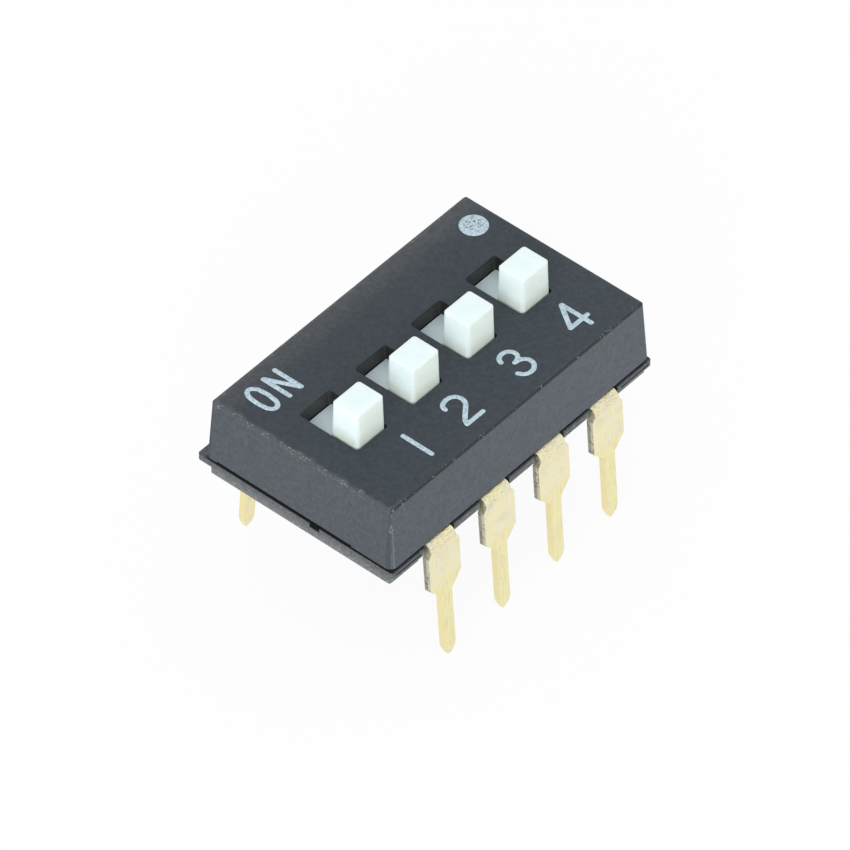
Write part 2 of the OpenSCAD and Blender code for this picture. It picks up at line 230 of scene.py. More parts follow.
rolledLook = {
    "stretch": (1.0, 1.0, 0.09),  # the lines run along Z
    "lineDetail": 3.0,
    "lineAt": (0.3, 0.7),
    "cloudCount": 0.14,  # clouds to each line
    "cloudDetail": 2.0,
    "cloudAt": (0.35, 0.65),
}


def makeRolledMetal(look):
    # strip metal: fine lines and soft clouds
    tree, given = newGroup("rolledMetal", [("Vector", "Vector", (0, 0, 0)), ("Size", "Float", 0.00005)],
                           ["Shade", "Height", "Cloud"])
    drawn = place(tree, "ShaderNodeVectorMath", 0, 0, {0: given["Vector"], 1: look["stretch"]},
                  operation="MULTIPLY").outputs[0]
    count = calc(tree, "DIVIDE", 0, 1, 1.0, given["Size"])
    lines = noise(tree, 1, 0, drawn, count, look["lineDetail"])
    fewer = times(tree, 1, 2, count, look["cloudCount"])
    clouds = noise(tree, 2, 2, given["Vector"], fewer, look["cloudDetail"])
    return closeGroup(tree, 4, {"Shade": fade(tree, 2, 0, lines, *look["lineAt"]), "Height": lines,
                                "Cloud": fade(tree, 3, 2, clouds, *look["cloudAt"])})


grain = makeGrain(grainLook)
edgeWear = makeEdgeWear(wearLook)
flecks = makeFlecks(fleckLook)
rolledMetal = makeRolledMetal(rolledLook)
print("shared effects made")


# Materials. A range named Turn is about the way a face looks: 1 is straight along the axis, 0 across it.

def newMaterial(name):
    material = bpy.data.materials.new(name)
    material.use_nodes = True
    tree = material.node_tree
    tree.nodes.clear()
    return material, tree, place(tree, "ShaderNodeTexCoord", -1, 1).outputs


def finishMaterial(tree, column, sockets, height, depth, strength):
    bump = place(tree, "ShaderNodeBump", column - 1, 3,
                 {"Height": height, "Distance": depth, "Strength": strength})
    sockets["Normal"] = bump.outputs[0]
    shader = place(tree, "ShaderNodeBsdfPrincipled", column, 0, sockets)
    place(tree, "ShaderNodeOutputMaterial", column + 2, 0, {"Surface": shader.outputs[0]})


coverLook = {
    # painted light and shade: the top, the long sides and the ends are one plastic, given darker and paler
    # copies as the light falls on them
    "top": tint(58, 65, 71),
    "litLongSides": tint(80, 86, 92),
    "ends": tint(74, 80, 86),
    "onMargin": tint(74, 78, 82),  # paler along the ON edge
    "marginAt": (2.4 * mm, 3.5 * mm),
    "topTurn": (0.6, 0.95),
    "endTurn": (0.4, 0.8),
    "grainSize": 0.16 * mm,
    "contrast": (0.80, 1.18),
    "lengthwise": (-6 * mm, 6 * mm, 0.97, 1.05),  # a little paler towards the digit 4
    "lean": (0.075, 0.075, 0.0),  # of each wall, as a share of its height
    "wornEdge": tint(102, 105, 108),
    "wearWidth": 0.21 * mm,
    "ragged": 0.35,
    "endWear": (-5.0 * mm, -4.0 * mm, 1.0, 0.2),
    "sideWear": (-5.6 * mm, -4.6 * mm, 0.7, 0.08),
    "onSideWear": (0.0, 1.0 * mm, 0.0, 0.55),
    "wearTurn": (0.72, 0.97, 0.08, 0.5),  # little of it on the walls, more on the top face
    # painted shadow line along the top's edge on the digits' side
    "paintedRimShadow": tint(43, 46, 50),
    "rimTurn": (-0.3, -0.5),
    "rimDepth": (0.10 * mm, 0.08 * mm),
    "rimShare": 0.9,
    "litCorner": tint(98, 104, 108),
    "litTurn": ((0.25, 0.35), (0.52, 0.42)),
    "litDepth": (0.2 * mm, 1.2 * mm),
    "darkCorner": tint(62, 68, 74),
    "darkTurn": ((0.10, 0.25), (0.7, 0.6)),
    "darkShare": 0.8,
    "dust": tint(146, 144, 139),
    "dustShare": 0.55,
    "fleckSize": 0.06 * mm,
    "cornerDust": 0.45,
    "rimDust": 0.42,
    "rimDustAt": (0.72, 0.95),
    "edgeDustAt": (0.0, 0.45),
    "patchSize": 0.40 * mm,
    "patchDust": (0.38, 0.60, 0.26, 0.64),  # the dust gathers in patches
    # painted shade inside the slots and the hollow under the top
    "inside": tint(63, 65, 64),
    "slotSideShade": tint(46, 46, 43),  # painted shade on the slots' walls that face along X
    "slotTurn": (0.5, 0.9),
    "slotContrast": (0.78, 1.22),
    "endMargin": (0.50 * mm, 0.45 * mm),  # the slots keep this far from the ends
    "sideMargin": (0.40 * mm, 0.35 * mm),
    "slotDepth": (0.06 * mm, 0.02 * mm),
    "roughness": (0.52, 0.68),
    "index": 1.5,  # of refraction
    "shine": 0.2,
    "toothDepth": 0.012 * mm,
    "toothStrength": 0.8,
}


def coverSkinAndShade(tree, look, at, facing, shade):
    # clouded plastic, with painted light and shade: the top painted dark and the walls paler, as the light
    # falls on them; also paler along the ON edge
    upward = fade(tree, 1, 4, facing["Z"], *look["topTurn"])
    endward = fade(tree, 2, 5, unsigned(tree, 1, 5, facing["X"]), *look["endTurn"])
    colour = mixColour(tree, 3, 0, endward, look["litLongSides"], look["ends"])
    colour = mixColour(tree, 4, 0, upward, colour, look["top"])
    onMargin = times(tree, 2, 3, fade(tree, 1, 3, at["Y"], *look["marginAt"]), upward)
    colour = mixColour(tree, 5, 0, onMargin, colour, look["onMargin"])
    clouds = fade(tree, 2, 1, shade, 0.0, 1.0, *look["contrast"])
    cloudy = times(tree, 3, 2, clouds, fade(tree, 2, 2, at["X"], *look["lengthwise"]))
    return mixColour(tree, 6, 0, 1.0, colour, cloudy, "MULTIPLY")


def coverEdges(tree, look, spot):
    height = coverHigh.z - coverLow.z
    halfSize = (coverHigh.x - coverMiddle.x - look["lean"][0] * height,
                coverHigh.y - coverMiddle.y - look["lean"][1] * height,
                height / 2)
    return useGroup(tree, edgeWear, 2, 6, {"Vector": spot, "Centre": coverMiddle, "Half Size": halfSize,
                                           "Lean": look["lean"], "Width": look["wearWidth"],
                                           "Ragged": look["ragged"]})


def coverWear(tree, look, at, edges):
    # rubbed along the -X end, the long sides next to it and the ON side
    atEnd = times(tree, 4, 5, edges["End"], fade(tree, 3, 5, at["X"], *look["endWear"]))
    alongSide = calc(tree, "MAXIMUM", 4, 7, fade(tree, 3, 7, at["X"], *look["sideWear"]),
                     fade(tree, 3, 6, at["Y"], *look["onSideWear"]))
    return calc(tree, "MAXIMUM", 6, 5, atEnd, times(tree, 5, 6, edges["Side"], alongSide))


def coverRimShadow(tree, look, at, facing):
    # painted shadow along the small bevel on the digits' side, with a little of the wall under it
    towardDigits = fade(tree, 2, 14, facing["Y"], *look["rimTurn"])
    deep, shallow = look["rimDepth"]
    atRim = fade(tree, 2, 15, at["Z"], coverHigh.z - deep, coverHigh.z - shallow)
    return times(tree, 3, 14, towardDigits, atRim)


def coverDust(tree, look, spot, worn, edges):
    # specks where the edges are worn, on the upright corners and on the very rim
    onCorner = times(tree, 5, 7, edges["Corner"], look["cornerDust"])
    onRim = times(tree, 5, 13, fade(tree, 4, 13, edges["Side"], *look["rimDustAt"]), look["rimDust"])
    onEdge = calc(tree, "MAXIMUM", 8, 7, calc(tree, "MAXIMUM", 7, 6, worn, onCorner), onRim)
    patches = noise(tree, 5, 14, spot, 1 / look["patchSize"], 1.0)
    amount = times(tree, 10, 7, fade(tree, 9, 7, onEdge, *look["edgeDustAt"]),
                   fade(tree, 6, 14, patches, *look["patchDust"]))
    specks = useGroup(tree, flecks, 11, 6, {"Vector": spot, "Size": look["fleckSize"], "Amount": amount})
    return times(tree, 12, 6, specks["Mask"], look["dustShare"])


def coverHollowShade(tree, look, at):
    # where shade is painted: the inner faces of the slots and of the hollow under the cover's top
    halfX = coverHigh.x - coverMiddle.x
    halfY = coverHigh.y - coverMiddle.y
    inEnds = fade(tree, 5, 10, apart(tree, 3, 10, at["X"], coverMiddle.x),
                  halfX - look["endMargin"][0], halfX - look["endMargin"][1], 1.0, 0.0)
    inSides = fade(tree, 5, 11, apart(tree, 3, 11, at["Y"], coverMiddle.y),
                   halfY - look["sideMargin"][0], halfY - look["sideMargin"][1], 1.0, 0.0)
    deep, shallow = look["slotDepth"]
    below = fade(tree, 5, 12, at["Z"], coverHigh.z - deep, coverHigh.z - shallow, 1.0, 0.0)
    return times(tree, 7, 10, times(tree, 6, 10, inEnds, inSides), below)


def makeCoverPlastic(look):
    material, tree, given = newMaterial("coverPlastic")
    spot = given["Object"]
    at = split(tree, 0, 2, spot)
    facing = split(tree, 0, 4, given["Normal"])
    skin = useGroup(tree, grain, 0, 0, {"Vector": spot, "Size": look["grainSize"]})
    edges = coverEdges(tree, look, spot)
    worn = coverWear(tree, look, at, edges)
    colour = coverSkinAndShade(tree, look, at, facing, skin["Shade"])
    share = fade(tree, 6, 4, facing["Z"], *look["wearTurn"])
    colour = mixColour(tree, 8, 0, times(tree, 7, 5, worn, share), colour, look["wornEdge"])
    # painted shadow along the rim on the digits' side
    rim = times(tree, 4, 14, coverRimShadow(tree, look, at, facing), look["rimShare"])
    colour = mixColour(tree, 9, 0, rim, colour, look["paintedRimShadow"])
    # the round of each upright corner lies dark, and catches the light towards the long side
    dark = times(tree, 4, 16, band(tree, 2, 16, unsigned(tree, 1, 16, facing["Y"]), *look["darkTurn"]),
                 look["darkShare"])
    colour = mixColour(tree, 10, 0, dark, colour, look["darkCorner"])
    shallow, deep = look["litDepth"]
    lower = fade(tree, 3, 9, at["Z"], coverHigh.z - shallow, coverHigh.z - deep)
    lit = times(tree, 4, 8, band(tree, 2, 8, unsigned(tree, 1, 8, facing["X"]), *look["litTurn"]), lower)
    colour = mixColour(tree, 11, 0, lit, colour, look["litCorner"])
    colour = mixColour(tree, 13, 0, coverDust(tree, look, spot, worn, edges), colour, look["dust"])
    # the slots and the hollow are painted dark inside as shade, mottled, and darkest where their walls face
    # along X
    sideways = fade(tree, 7, 11, unsigned(tree, 6, 11, facing["X"]), *look["slotTurn"])
    slotShadeColour = mixColour(tree, 8, 11, sideways, look["inside"], look["slotSideShade"])
    mottle = fade(tree, 8, 12, skin["Shade"], 0.0, 1.0, *look["slotContrast"])
    slotShadeColour = mixColour(tree, 9, 11, 1.0, slotShadeColour, mottle, "MULTIPLY")
    colour = mixColour(tree, 14, 0, coverHollowShade(tree, look, at), colour, slotShadeColour)
    rough = fade(tree, 14, 2, skin["Shade"], 0.0, 1.0, *look["roughness"])
    finishMaterial(tree, 16, {"Base Color": colour, "Roughness": rough, "IOR": look["index"],
                              "Specular IOR Level": look["shine"]},
                   skin["Height"], look["toothDepth"], look["toothStrength"])
    return material


baseLook = {
    "colour": tint(78, 82, 86),
    # painted light: the lower body paler towards its bottom, as lit from the floor below
    "foot": tint(106, 110, 112),
    "footDrop": (0.05 * mm, 0.50 * mm),  # drops are measured down from the metal strips' top
    "grainSize": 0.10 * mm,
    "contrast": (0.68, 1.32),
    "dust": tint(170, 168, 160),
    "dustShare": 0.45,
    "fleckSize": 0.07 * mm,
    "fleckAmount": 0.42,
    # painted shade on the base's inner faces
    "inside": tint(41, 42, 44),
    "faceDepth": 0.012 * mm,  # this much of the outer faces keeps the outer colour
    "cornerCut": 0.11 * mm,
    "flangeDrop": (0.25 * mm, 0.24 * mm),
    "ledgeDrop": (0.04 * mm, 0.033 * mm),
    "ledgeEdge": 0.01 * mm,
    "roughness": (0.42, 0.6),
    "index": 1.5,
    "shine": 0.3,
    "toothDepth": 0.014 * mm,
    "toothStrength": 0.8,
}


def baseHollowShade(tree, look, at):
    # painted shade on what lies behind the flange's faces, or under the cover
    halfX = baseHigh.x - baseMiddle.x
    halfY = baseHigh.y - baseMiddle.y
    fromX = apart(tree, 3, 5, at["X"], baseMiddle.x)
    fromY = apart(tree, 3, 6, at["Y"], baseMiddle.y)
    behind = times(tree, 6, 5, inside(tree, 5, 5, fromX, halfX - look["faceDepth"]),
                   inside(tree, 5, 6, fromY, halfY - look["faceDepth"]))
    inCorners = inside(tree, 6, 7, calc(tree, "ADD", 5, 7, fromX, fromY), halfX + halfY - look["cornerCut"])
    low, high = look["flangeDrop"]
    aboveFoot = fade(tree, 6, 8, at["Z"], stripZ - low, stripZ - high)
    behind = times(tree, 8, 5, times(tree, 7, 5, behind, inCorners), aboveFoot)
    # the ledge beside the cover is an outer face too
    low, high = look["ledgeDrop"]
    coverEdge = coverHigh.y - coverMiddle.y
    fromMiddle = apart(tree, 3, 9, at["Y"], coverMiddle.y)
    pastCover = fade(tree, 5, 9, fromMiddle, coverEdge - look["ledgeEdge"], coverEdge)
    onLedge = times(tree, 6, 9, fade(tree, 5, 10, at["Z"], stripZ - low, stripZ - high), pastCover)
    return times(tree, 9, 5, behind, calc(tree, "SUBTRACT", 7, 9, 1.0, onLedge))


def makeBasePlastic(look):
    material, tree, given = newMaterial("basePlastic")
    spot = given["Object"]
    at = split(tree, 0, 2, spot)
    skin = useGroup(tree, grain, 0, 0, {"Vector": spot, "Size": look["grainSize"]})
    # painted light off the floor: paler towards the bottom
    high, low = look["footDrop"]
    onFoot = fade(tree, 1, 2, at["Z"], stripZ - high, stripZ - low)
    colour = mixColour(tree, 2, 0, onFoot, look["colour"], look["foot"])
    cloudy = fade(tree, 2, 1, skin["Shade"], 0.0, 1.0, *look["contrast"])
    colour = mixColour(tree, 3, 0, 1.0, colour, cloudy, "MULTIPLY")
    specks = useGroup(tree, flecks, 2, 3, {"Vector": spot, "Size": look["fleckSize"],
                                           "Amount": look["fleckAmount"]})
    colour = mixColour(tree, 4, 0, times(tree, 3, 3, specks["Mask"], look["dustShare"]), colour, look["dust"])
    # painted shade on the inner faces
    colour = mixColour(tree, 10, 0, baseHollowShade(tree, look, at), colour, look["inside"])
    rough = fade(tree, 10, 2, skin["Shade"], 0.0, 1.0, *look["roughness"])
    finishMaterial(tree, 12, {"Base Color": colour, "Roughness": rough, "IOR": look["index"],
                              "Specular IOR Level": look["shine"]},
                   skin["Height"], look["toothDepth"], look["toothStrength"])
    return material


sliderLook = {
    "knob": tint(229, 243, 243),
    # painted light: the faces towards Y warmer, as lit by warm light from that side
    "knobSideWarmLight": tint(228, 239, 232),
    "sideTurn": (0.5, 0.8),
    "knobFootShade": tint(207, 218, 208),
    "footHeight": 0.55 * mm,  # above the cover, where the foot's painted shade has faded out
    "plate": tint(224, 241, 248),
    "plateDepth": (0.45 * mm, 0.55 * mm),
    "knobEdgeShade": tint(212, 228, 228),
    "edgeShare": 0.75,
    "topTurn": ((0.2, 0.4), (0.97, 0.85)),
    "uprightTurn": (0.15, 0.4, 0.0, 0.8),
    "grainSize": 0.3 * mm,
    "contrast": (0.965, 1.0),
    "roughness": (0.5, 0.66),
    "index": 1.5,
    "shine": 0.22,
    "glow": (0.5, 0.0),  # share of the light that sinks in and comes out again, on the knob and the plate
    "glowDepth": 0.35 * mm,
    "toothDepth": 0.004 * mm,
    "toothStrength": 0.6,
}


def knobRounds(tree, look, facing):
    # the rounded edges are painted darker as shade, so they show no bright line: light that enters beside
    # them spreads
    aroundTop = band(tree, 1, 6, facing["Z"], *look["topTurn"])
    turned = calc(tree, "MINIMUM", 2, 8, unsigned(tree, 1, 8, facing["X"]), unsigned(tree, 1, 9, facing["Y"]))
    return calc(tree, "MAXIMUM", 4, 6, aroundTop, fade(tree, 3, 8, turned, *look["uprightTurn"]))


def makeSliderNylon(look):
    material, tree, given = newMaterial("sliderNylon")
    spot = given["Object"]
    at = split(tree, 0, 2, spot)
    facing = split(tree, 0, 4, given["Normal"])
    skin = useGroup(tree, grain, 0, 0, {"Vector": spot, "Size": look["grainSize"]})
    # painted warm light on the faces towards Y
    sideward = fade(tree, 2, 4, unsigned(tree, 1, 4, facing["Y"]), *look["sideTurn"])
    colour = mixColour(tree, 3, 0, sideward, look["knob"], look["knobSideWarmLight"])
    # painted shade darkening the knob towards its foot
    aboveCover = fade(tree, 1, 2, at["Z"], coverHigh.z, coverHigh.z + look["footHeight"])
    colour = mixColour(tree, 4, 0, aboveCover, look["knobFootShade"], colour)
    high, low = look["plateDepth"]
    onPlate = fade(tree, 1, 3, at["Z"], coverHigh.z - high, coverHigh.z - low)
    colour = mixColour(tree, 5, 0, onPlate, colour, look["plate"])
    cloudy = fade(tree, 2, 1, skin["Shade"], 0.0, 1.0, *look["contrast"])
    colour = mixColour(tree, 6, 0, 1.0, colour, cloudy, "MULTIPLY")
    # painted shade on the knobs' rounded edges
    onRound = times(tree, 5, 6, knobRounds(tree, look, facing), look["edgeShare"])
    colour = mixColour(tree, 7, 0, onRound, colour, look["knobEdgeShade"])
    rough = fade(tree, 7, 2, skin["Shade"], 0.0, 1.0, *look["roughness"])
    glow = fade(tree, 7, 4, onPlate, 0.0, 1.0, *look["glow"])
    finishMaterial(tree, 9, {"Base Color": colour, "Roughness": rough, "IOR": look["index"],
                             "Specular IOR Level": look["shine"], "Subsurface Weight": glow,
                             "Subsurface Radius": (1.0, 1.0, 1.0), "Subsurface Scale": look["glowDepth"]},
                   skin["Height"], look["toothDepth"], look["toothStrength"])
    return material


terminalLook = {
    "gold": tint(240, 231, 186),
    "paleGold": tint(237, 232, 204),
    "dullPatch": tint(219, 214, 190),
    "patchSize": 0.42 * mm,
    "patchShare": (0.48, 0.68, 0.0, 0.42),
    "tarnish": tint(196, 176, 128),
    "lineShare": (0.7, 1.0, 0.0, 0.12),
    "spotSize": 0.16 * mm,
    "spotAmount": 0.16,
    "spotShare": 0.45,
    "legGold": tint(240, 232, 176),
    "legStreak": tint(214, 198, 140),
    "streakShare": (0.45, 0.95, 0.0, 0.40),
    "legSide": tint(240, 226, 166),
    "legShare": 0.7,
    "shoulderDrop": 1.79 * mm,  # drops are measured down from the strips' top face
    "shoulderFade": (-0.10 * mm, 0.05 * mm),
    "legFade": (0.25 * mm, -0.15 * mm),
    "shearedEdge": tint(192, 188, 164),
    "brokenEdge": tint(142, 142, 126),
    "cutTurn": (0.85, 0.97),
    "breakLine": (0.35, 0.55),  # share of the thickness, from the outer face
    "outerFace": 3.90 * mm,  # from the middle of the switch, where the bend ends
    "splayDrop": 0.3 * mm,  # the legs lean out from here down
    "splay": math.radians(4),
    "thickness": 0.24 * mm,
    "grime": tint(78, 80, 72),
    "grimeSize": 0.13 * mm,
    "grimeAmount": 0.62,
    "grimeShare": 0.62,
    "scored": tint(150, 146, 112),
    "scoreSize": 0.032 * mm,
    "scoreStretch": (0.25, 1.0, 1.0),
    "scoreShare": (0.47, 0.64, 0.0, 0.40),
    "bendDrop": (0.50 * mm, 0.22 * mm),
    "bendTurn": (0.6, 0.3),
    "creaseDepth": 0.014 * mm,
    "lineSize": 0.05 * mm,
    "lineDepth": 0.0015 * mm,
    "lineStrength": 0.9,
    "roughness": (0.30, 0.46),
    "metallic": (0.9, 0.5),  # on the faces and on the cut sides
}


def cutSides(tree, look, spot, at):
    # each cut side has a sheared part and a broken part across the thickness, and grime
    fallen = calc(tree, "SUBTRACT", 1, 7, stripZ - look["splayDrop"], at["Z"])
    outside = calc(tree, "SUBTRACT", 3, 5, unsigned(tree, 2, 5, at["Y"]),
                   times(tree, 2, 6, fallen, math.tan(look["splay"])))
    depth = calc(tree, "SUBTRACT", 4, 5, look["outerFace"], outside)
    start, end = look["breakLine"]
    broken = fade(tree, 5, 5, depth, look["thickness"] * start, look["thickness"] * end)
    colour = mixColour(tree, 6, 4, broken, look["shearedEdge"], look["brokenEdge"])
    dirty = useGroup(tree, flecks, 5, 3, {"Vector": spot, "Size": look["grimeSize"],
                                          "Amount": look["grimeAmount"]})
    return mixColour(tree, 7, 4, times(tree, 6, 3, dirty["Mask"], look["grimeShare"]), colour, look["grime"])


def bendScores(tree, look, spot, at, facing):
    # where the outside of the bend is creased, and the creases' height
    low, high = look["bendDrop"]
    onBend = times(tree, 5, 9, fade(tree, 4, 9, at["Z"], stripZ - low, stripZ - high),
                   fade(tree, 4, 10, unsigned(tree, 3, 10, facing["X"]), *look["bendTurn"]))
    across = place(tree, "ShaderNodeVectorMath", 2, 9, {0: spot, 1: look["scoreStretch"]},
                   operation="MULTIPLY").outputs[0]
    creases = noise(tree, 3, 9, across, 1 / look["scoreSize"], 3.0)
    scored = times(tree, 8, 9, fade(tree, 7, 9, creases, *look["scoreShare"]), onBend)
    creased = times(tree, 7, 10, times(tree, 6, 10, creases, onBend), look["creaseDepth"] / look["lineDepth"])
    return scored, creased


def makeTerminalGold(look):
    material, tree, given = newMaterial("terminalGold")
    spot = given["Object"]
    at = split(tree, 0, 2, spot)
    facing = split(tree, 0, 5, given["Normal"])
    strip = useGroup(tree, rolledMetal, 0, 0, {"Vector": spot, "Size": look["lineSize"]})
    colour = mixColour(tree, 2, 0, strip["Cloud"], look["gold"], look["paleGold"])
    patches = noise(tree, 1, 3, spot, 1 / look["patchSize"], 2.0)
    colour = mixColour(tree, 3, 0, fade(tree, 2, 3, patches, *look["patchShare"]), colour, look["dullPatch"])
    lines = fade(tree, 3, 2, strip["Shade"], *look["lineShare"])
    colour = mixColour(tree, 4, 0, lines, colour, look["tarnish"])
    # the narrow leg below the shoulder
    shoulderEnd = stripZ - look["shoulderDrop"]
    sideways = fade(tree, 2, 7, unsigned(tree, 1, 6, facing["X"]), *look["cutTurn"])
    streaks = fade(tree, 4, 1, strip["Shade"], *look["streakShare"])
    legColour = mixColour(tree, 5, 1, streaks, look["legGold"], look["legStreak"])
    legColour = mixColour(tree, 6, 1, sideways, legColour, look["legSide"])
    start, end = look["legFade"]
    onLeg = fade(tree, 5, 2, at["Z"], shoulderEnd + start, shoulderEnd + end, 0.0, look["legShare"])
    colour = mixColour(tree, 7, 0, onLeg, colour, legColour)
    # the shoulder's cut sides
    start, end = look["shoulderFade"]
    onShoulder = fade(tree, 4, 7, at["Z"], shoulderEnd + start, shoulderEnd + end)
    cutMask = times(tree, 6, 6, sideways, onShoulder)
    colour = mixColour(tree, 8, 0, cutMask, colour, cutSides(tree, look, spot, at))
    spots = useGroup(tree, flecks, 6, 7, {"Vector": spot, "Size": look["spotSize"],
                                          "Amount": look["spotAmount"]})
    spotted = times(tree, 7, 7, spots["Mask"], look["spotShare"])
    colour = mixColour(tree, 9, 0, spotted, colour, look["tarnish"])
    scored, creased = bendScores(tree, look, spot, at, facing)
    colour = mixColour(tree, 10, 0, scored, colour, look["scored"])
    height = calc(tree, "ADD", 9, 4, strip["Height"], creased)
    rough = fade(tree, 9, 2, strip["Cloud"], 0.0, 1.0, *look["roughness"])
    metal = fade(tree, 9, 3, cutMask, 0.0, 1.0, *look["metallic"])
    finishMaterial(tree, 11, {"Base Color": colour, "Roughness": rough, "Metallic": metal},
                   height, look["lineDepth"], look["lineStrength"])
    return material


wiperLook = {
    "brass": tint(214, 182, 108),
    "dull": tint(176, 142, 84),
    "dullShare": 0.6,
    "roughness": (0.26, 0.4),
    "lineSize": 0.04 * mm,
    "lineDepth": 0.003 * mm,
    "lineStrength": 0.8,
}


def makeWiperBrass(look):
    material, tree, given = newMaterial("wiperBrass")
    strip = useGroup(tree, rolledMetal, 0, 0, {"Vector": given["Object"], "Size": look["lineSize"]})
    clouds = times(tree, 1, 1, strip["Cloud"], look["dullShare"])
    colour = mixColour(tree, 2, 0, clouds, look["brass"], look["dull"])
    rough = fade(tree, 2, 2, strip["Shade"], 0.0, 1.0, *look["roughness"])
    finishMaterial(tree, 4, {"Base Color": colour, "Roughness": rough, "Metallic": 1.0},
                   strip["Height"], look["lineDepth"], look["lineStrength"])
    return material


coverPlastic = makeCoverPlastic(coverLook)
basePlastic = makeBasePlastic(baseLook)
sliderNylon = makeSliderNylon(sliderLook)
terminalGold = makeTerminalGold(terminalLook)
wiperBrass = makeWiperBrass(wiperLook)
print("materials made")

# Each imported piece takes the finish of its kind, the first word of its name.
finishes = {"cover": coverPlastic, "base": basePlastic, "slider": sliderNylon,
            "wiper": wiperBrass, "terminal": terminalGold}
for name, piece in nodes.items():
    piece.data.materials.clear()
    piece.data.materials.append(finishes[name.split("_")[0]])
print("packed pieces finished")


# The print on the cover. Its sizes and strokes are in millimetres until it settles on the cover.

printed = {
    "top": coverHigh.z / mm,  # height of the cover's top
    "stroke": 0.165,
    "film": 0.012,
    "voxel": 0.013,
    "smoothing": 4,
    "curveSteps": 8,
    "tubeRound": 5,
    "ballSegments": 24,
    "ballRings": 12,
    "dotAt": (5.08, 2.555),
    "dotRadius": 0.467,
    "dotSides": 72,
    "dotBevel": 0.6,  # share of the film's thickness
    "shadeAngle": math.radians(50),
}
inkLook = {
    "ink": tint(192, 214, 224),
    "thin": tint(136, 155, 168),
    "thinShare": (0.15, 0.9, 0.0, 0.75),
    "blotchSize": 0.10 * mm,
    "bare": tint(88, 95, 102),
    "holeSize": 0.075 * mm,
    "holes": (0.62, 0.12),  # how much of the film has not taken, in the dot's middle and elsewhere
    "holesAt": (0.55, 0.9),  # shares of the dot's radius
    "roughness": (0.5, 0.65),
    "blotchDepth": 0.004 * mm,
    "blotchStrength": 0.6,
}


def makePrintInk(look):
    material, tree, given = newMaterial("printInk")
    spot = given["Object"]
    skin = useGroup(tree, grain, 0, 0, {"Vector": spot, "Size": look["blotchSize"]})
    thinned = fade(tree, 1, 1, skin["Shade"], *look["thinShare"])
    colour = mixColour(tree, 2, 0, thinned, look["ink"], look["thin"])
    x, y = printed["dotAt"]
    fromDot = place(tree, "ShaderNodeVectorMath", 0, 2, {0: spot, 1: (x * mm, y * mm, coverHigh.z)},
                    operation="DISTANCE").outputs["Value"]
    radius = printed["dotRadius"] * mm
    near, far = look["holesAt"]
    amount = fade(tree, 1, 2, fromDot, radius * near, radius * far, *look["holes"])
    holes = useGroup(tree, flecks, 2, 2, {"Vector": spot, "Size": look["holeSize"], "Amount": amount})
    colour = mixColour(tree, 3, 0, holes["Mask"], colour, look["bare"])
    rough = fade(tree, 3, 2, skin["Shade"], 0.0, 1.0, *look["roughness"])
    finishMaterial(tree, 5, {"Base Color": colour, "Roughness": rough},
                   skin["Height"], look["blotchDepth"], look["blotchStrength"])
    return material


printInk = makePrintInk(inkLook)
# Each figure is a list of pen strokes on the cover's top; a ring closes on itself, a bow is
# drawn as a smooth curve, and a bar is straight.
figures = {
    "mark_o": [("ring", [(-4.96, 2.34), (-4.96, 2.68), (-4.89, 2.96), (-4.73, 3.07), (-4.57, 2.96),
                         (-4.50, 2.68), (-4.50, 2.34), (-4.57, 2.05), (-4.73, 1.945), (-4.89, 2.05)])],
    "mark_n": [("bar", [(-4.09, 1.975), (-4.09, 3.035)]), ("bar", [(-4.07, 3.02), (-3.60, 1.99)]),
               ("bar", [(-3.575, 1.975), (-3.575, 3.035)])],
    "mark_1": [("bar", [(-3.145, -1.715), (-3.145, -2.85)])],
    "mark_2": [("bow", [(-1.485, -1.95), (-1.45, -1.83), (-1.33, -1.735), (-1.13, -1.70), (-0.94, -1.76),
                        (-0.83, -1.90), (-0.81, -2.06), (-0.88, -2.23), (-1.05, -2.38), (-1.30, -2.58),
                        (-1.43, -2.70), (-1.51, -2.84)]),
               ("bar", [(-1.51, -2.845), (-0.79, -2.845)])],
    "mark_3": [("bow", [(1.125, -1.92), (1.20, -1.78), (1.42, -1.705), (1.63, -1.79), (1.715, -1.95),
                        (1.66, -2.12), (1.52, -2.21), (1.40, -2.235)]),
               ("bow", [(1.40, -2.235), (1.58, -2.265), (1.73, -2.38), (1.785, -2.55), (1.70, -2.75),
                        (1.45, -2.855), (1.23, -2.78), (1.105, -2.60)])],
    "mark_4": [("bar", [(4.215, -1.71), (4.215, -2.88)]), ("bar", [(4.19, -1.71), (3.625, -2.55)]),
               ("bar", [(3.625, -2.56), (4.41, -2.56)])],
}


def deselect():
    bpy.ops.object.select_all(action="DESELECT")


def makeActive(piece):
    deselect()
    piece.select_set(True)
    bpy.context.view_layer.objects.active = piece


def drawStroke(kind, points, radius):
    # a round pen along the points, as a tube with a ball at each open end
    bpy.ops.curve.primitive_bezier_curve_add(location=(0, 0, 0))
    pen = bpy.context.object
    spline = pen.data.splines[0]
    spline.bezier_points.add(len(points) - 2)
    for knot, (x, y) in zip(spline.bezier_points, points):
        knot.co = (x, y, 0)
        knot.handle_left_type = knot.handle_right_type = "VECTOR" if kind == "bar" else "AUTO"
    spline.use_cyclic_u = kind == "ring"
    pen.data.resolution_u = printed["curveSteps"]
    pen.data.bevel_depth = radius
    pen.data.bevel_resolution = printed["tubeRound"]
    pen.data.use_fill_caps = True
    makeActive(pen)
    bpy.ops.object.convert(target="MESH")
    parts = [bpy.context.object]
    for x, y in ([] if kind == "ring" else [points[0], points[-1]]):
        bpy.ops.mesh.primitive_uv_sphere_add(segments=printed["ballSegments"],
                                             ring_count=printed["ballRings"],
                                             radius=radius, location=(x, y, 0))
        parts.append(bpy.context.object)
    return parts


